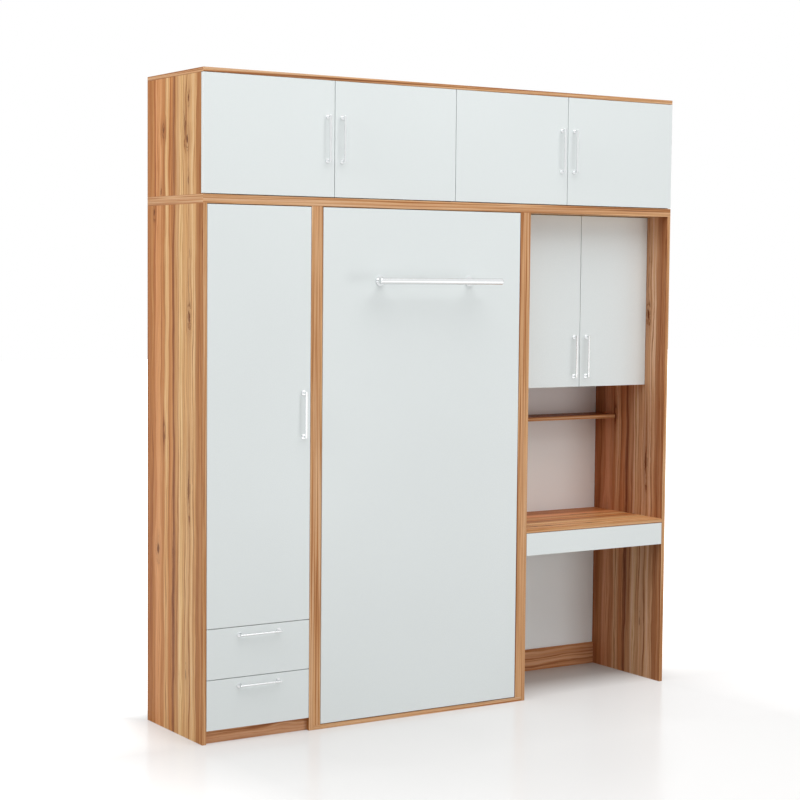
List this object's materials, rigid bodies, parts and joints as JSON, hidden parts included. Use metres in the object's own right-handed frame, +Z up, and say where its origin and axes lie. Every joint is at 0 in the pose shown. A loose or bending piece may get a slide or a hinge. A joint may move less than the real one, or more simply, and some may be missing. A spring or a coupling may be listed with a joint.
{
  "type": "wall bed",
  "caption": "Wall unit with an upright folding single bed between a wardrobe with drawers and a desk niche, under a row of hinged cabinet doors.",
  "frame": {"origin": "on the floor at half the width and half the depth of the cabinets", "axes": "+Z up, +Y towards the wall, +X from the wardrobe to the desk; the fronts face -Y"},
  "size_m": [2.4, 0.662, 2.7],
  "materials": {
    "board": "striped warm brown wood-grain board, satin",
    "back_panel": "thin off-white hardboard",
    "white_lacquer": "cool white, high gloss",
    "drawer_board": "light melamine",
    "slat_birch": "clear-coated laminated birch",
    "chromed_metal": "polished",
    "zinc_plated_steel": "bright zinc",
    "powder_coated_steel": "fine grey powder coat",
    "black_painted_steel": "satin black",
    "mattress_ticking": "quilted off-white",
    "webbing": "woven dark grey"
  },
  "bodies": {
    "carcass": {"wardrobe_left_side": "board", "wardrobe_right_side": "board", "wardrobe_plinth": "board", "wardrobe_bottom": "board", "wardrobe_shelves": "board", "cabinet_backs": "back_panel", "wardrobe_hanging_rail": "chromed_metal", "bed_left_side": "board", "bed_right_side": "board", "bed_bottom_board": "board", "bed_back_rails": "board", "mechanism_plates": "zinc_plated_steel", "desk_left_side": "board", "desk_right_side": "board", "desk_top": "board", "desk_back": "back_panel", "desk_skirting": "board", "desk_wall_shelf": "board", "desk_cabinet_shelves": "board", "lower_top_board": "board", "upper_bottom_board": "board", "upper_top_board": "board", "upper_sides": "board", "upper_divider": "board", "hinge_arms": "zinc_plated_steel", "drawer_runners": "zinc_plated_steel"},
    "bed": {"bed_panel": "white_lacquer", "bed_frame": "powder_coated_steel", "bed_slats": "slat_birch", "mattress": "mattress_ticking", "mattress_straps": "webbing", "foot_bar": "chromed_metal"},
    "spring_cylinder_left": {"gas_spring_cylinder_left": "black_painted_steel"},
    "spring_rod_left": {"gas_spring_rod_left": "chromed_metal"},
    "spring_cylinder_right": {"gas_spring_cylinder_right": "black_painted_steel"},
    "spring_rod_right": {"gas_spring_rod_right": "chromed_metal"},
    "upper_door_1": {"upper_door_1": "white_lacquer", "upper_door_1_fittings": "chromed_metal"},
    "upper_door_2": {"upper_door_2": "white_lacquer", "upper_door_2_fittings": "chromed_metal"},
    "upper_door_3": {"upper_door_3": "white_lacquer", "upper_door_3_fittings": "chromed_metal"},
    "upper_door_4": {"upper_door_4": "white_lacquer", "upper_door_4_fittings": "chromed_metal"},
    "wardrobe_door": {"wardrobe_door": "white_lacquer", "wardrobe_door_fittings": "chromed_metal"},
    "desk_door_left": {"desk_door_left": "white_lacquer", "desk_door_left_fittings": "chromed_metal"},
    "desk_door_right": {"desk_door_right": "white_lacquer", "desk_door_right_fittings": "chromed_metal"},
    "upper_drawer": {"upper_drawer_front": "white_lacquer", "upper_drawer_box": "drawer_board", "upper_drawer_fittings": "chromed_metal"},
    "lower_drawer": {"lower_drawer_front": "white_lacquer", "lower_drawer_box": "drawer_board", "lower_drawer_fittings": "chromed_metal"},
    "desk_drawer": {"desk_drawer_front": "white_lacquer", "desk_drawer_box": "drawer_board", "desk_drawer_rails": "zinc_plated_steel"}
  },
  "joints": [
    {"name": "bed_fold", "type": "hinge", "parent": "carcass", "child": "bed", "pos_m": [-0.153, -0.227, 0.178], "axis": [1, 0, 0], "range_deg": [0, 90]},
    {"name": "spring_swing_left", "type": "hinge", "parent": "carcass", "child": "spring_cylinder_left", "pos_m": [-0.633, -0.197, 0.778], "axis": [1, 0, 0], "range_deg": [0, 6.31]},
    {"name": "spring_stroke_left", "type": "slide", "parent": "spring_cylinder_left", "child": "spring_rod_left", "axis": [0, -0.0143, 0.9999], "range_m": [0, 0.1358]},
    {"name": "spring_swing_right", "type": "hinge", "parent": "carcass", "child": "spring_cylinder_right", "pos_m": [0.327, -0.197, 0.778], "axis": [1, 0, 0], "range_deg": [0, 6.31]},
    {"name": "spring_stroke_right", "type": "slide", "parent": "spring_cylinder_right", "child": "spring_rod_right", "axis": [0, -0.0143, 0.9999], "range_m": [0, 0.1358]},
    {"name": "upper_door_1_hinge", "type": "hinge", "parent": "carcass", "child": "upper_door_1", "pos_m": [-1.2, -0.257, 2.44375], "axis": [0, 0, -1], "range_deg": [0, 110]},
    {"name": "upper_door_2_hinge", "type": "hinge", "parent": "carcass", "child": "upper_door_2", "pos_m": [-0.0015, -0.257, 2.44375], "axis": [0, 0, 1], "range_deg": [0, 85]},
    {"name": "upper_door_3_hinge", "type": "hinge", "parent": "carcass", "child": "upper_door_3", "pos_m": [0.0015, -0.257, 2.44375], "axis": [0, 0, -1], "range_deg": [0, 85]},
    {"name": "upper_door_4_hinge", "type": "hinge", "parent": "carcass", "child": "upper_door_4", "pos_m": [1.2, -0.257, 2.44375], "axis": [0, 0, 1], "range_deg": [0, 110]},
    {"name": "wardrobe_door_hinge", "type": "hinge", "parent": "carcass", "child": "wardrobe_door", "pos_m": [-1.1805, -0.257, 1.31675], "axis": [0, 0, -1], "range_deg": [0, 110]},
    {"name": "desk_door_left_hinge", "type": "hinge", "parent": "carcass", "child": "desk_door_left", "pos_m": [0.4025, -0.117, 1.7755], "axis": [0, 0, -1], "range_deg": [0, 90]},
    {"name": "desk_door_right_hinge", "type": "hinge", "parent": "carcass", "child": "desk_door_right", "pos_m": [1.1805, -0.117, 1.7755], "axis": [0, 0, 1], "range_deg": [0, 90]},
    {"name": "upper_drawer_slide", "type": "slide", "parent": "carcass", "child": "upper_drawer", "axis": [0, -1, 0], "range_m": [0, 0.34]},
    {"name": "lower_drawer_slide", "type": "slide", "parent": "carcass", "child": "lower_drawer", "axis": [0, -1, 0], "range_m": [0, 0.34]},
    {"name": "desk_drawer_slide", "type": "slide", "parent": "carcass", "child": "desk_drawer", "axis": [0, -1, 0], "range_m": [0, 0.34]}
  ],
  "couplings": [
    {"joint": "spring_swing_left", "follows": "bed_fold", "ratio": 0.070073},
    {"joint": "spring_stroke_left", "follows": "bed_fold", "m_per_rad": 0.086398},
    {"joint": "spring_swing_right", "follows": "bed_fold", "ratio": 0.070073},
    {"joint": "spring_stroke_right", "follows": "bed_fold", "m_per_rad": 0.086398}
  ]
}
